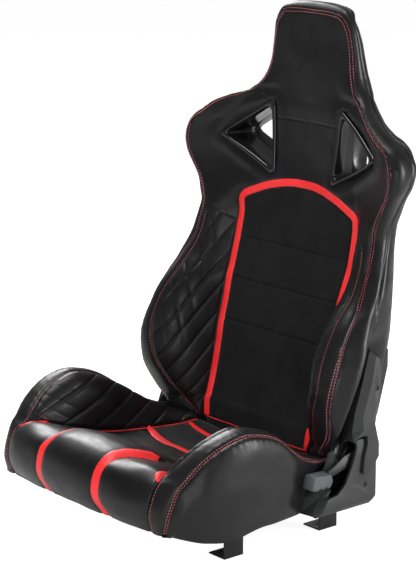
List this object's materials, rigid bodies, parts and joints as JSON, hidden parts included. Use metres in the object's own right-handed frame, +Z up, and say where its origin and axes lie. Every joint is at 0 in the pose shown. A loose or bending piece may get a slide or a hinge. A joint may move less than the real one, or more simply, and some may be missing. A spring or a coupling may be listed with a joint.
{
  "type": "racing seat",
  "caption": "Reclining bucket racing seat with quilted side bolsters, harness slots beside the neck, fixed headrest, side release lever and bolt-down feet.",
  "frame": {"origin": "centre of the whole seat in plan, on the plane of the undersides of the four feet", "axes": "+Z up, the seat faces -Y, +X is the sitter's left"},
  "size_m": [0.584, 0.655, 0.928],
  "materials": {
    "leather_black": "smooth glossy synthetic leather",
    "leather_red": "smooth satin synthetic leather",
    "suede_black": "matte napped fabric",
    "thread_red": "twisted sewing thread",
    "plastic_black": "fine textured satin",
    "plastic_gloss": "polished",
    "plastic_grey": "satin",
    "steel_black": "black powder coat",
    "steel_zinc": "zinc plated",
    "spring_steel": "bare hardened wire and strip"
  },
  "bodies": {
    "base": {"foot_front_left": "steel_black", "foot_front_right": "steel_black", "foot_rear_left": "steel_black", "foot_rear_right": "steel_black", "base_rail_left": "steel_black", "base_rail_right": "steel_black", "recliner_base_plate_left": "steel_black", "recliner_base_plate_right": "steel_black", "foot_bolt_front_left": "steel_zinc", "foot_bolt_front_right": "steel_zinc", "foot_bolt_rear_left": "steel_zinc", "foot_bolt_rear_right": "steel_zinc", "recliner_disc_fixed_left": "steel_zinc", "recliner_disc_fixed_right": "steel_zinc", "lower_cover_screw_left": "steel_black", "lower_cover_screw_right": "steel_black", "front_cross_tube": "steel_black", "rear_cross_tube": "steel_black", "seat_suspension_mat": "spring_steel", "lever_return_spring": "spring_steel", "assist_spring_left": "spring_steel", "assist_spring_right": "spring_steel", "cushion_foam_centre": "suede_black", "cushion_foam_bolster_left": "leather_black", "cushion_foam_bolster_right": "leather_black", "lower_cover_left": "plastic_black", "lower_cover_right": "plastic_black"},
    "backrest": {"recliner_disc_moving_left": "steel_zinc", "recliner_disc_moving_right": "steel_zinc", "recliner_arm_left": "steel_black", "recliner_arm_right": "steel_black", "upper_cover_left": "plastic_black", "upper_cover_right": "plastic_black", "upper_cover_screw_left": "steel_black", "upper_cover_screw_right": "steel_black", "back_upright_left": "steel_black", "back_upright_right": "steel_black", "back_neck_tube_left": "steel_black", "back_neck_tube_right": "steel_black", "wing_wire_left": "spring_steel", "wing_wire_right": "spring_steel", "back_foam_bolster_left": "leather_black", "back_foam_bolster_right": "leather_black", "wing_foam_left": "leather_black", "wing_foam_right": "leather_black", "harness_bezel_front_left": "plastic_gloss", "harness_bezel_front_right": "plastic_gloss", "harness_bezel_rear_left": "plastic_gloss", "harness_bezel_rear_right": "plastic_gloss", "head_frame_plate": "steel_black", "back_cross_tube": "steel_black", "back_suspension_mat": "spring_steel", "back_foam_centre": "suede_black", "neck_foam": "leather_black", "head_foam": "leather_black", "back_panel": "leather_black"},
    "release": {"recliner_sync_rod": "steel_zinc", "release_lever_arm": "steel_black", "release_lever_grip": "plastic_grey"}
  },
  "joints": [
    {"name": "backrest_recline", "type": "hinge", "parent": "base", "child": "backrest", "pos_m": [0, 0.1275, 0.15], "axis": [-1, 0, 0], "range_deg": [-10, 50]},
    {"name": "release_lever_pull", "type": "hinge", "parent": "base", "child": "release", "pos_m": [0, 0.1275, 0.15], "axis": [-1, 0, 0], "range_deg": [0, 20], "stiffness_Nm_per_rad": 1.5, "springref_deg": -20.05}
  ]
}
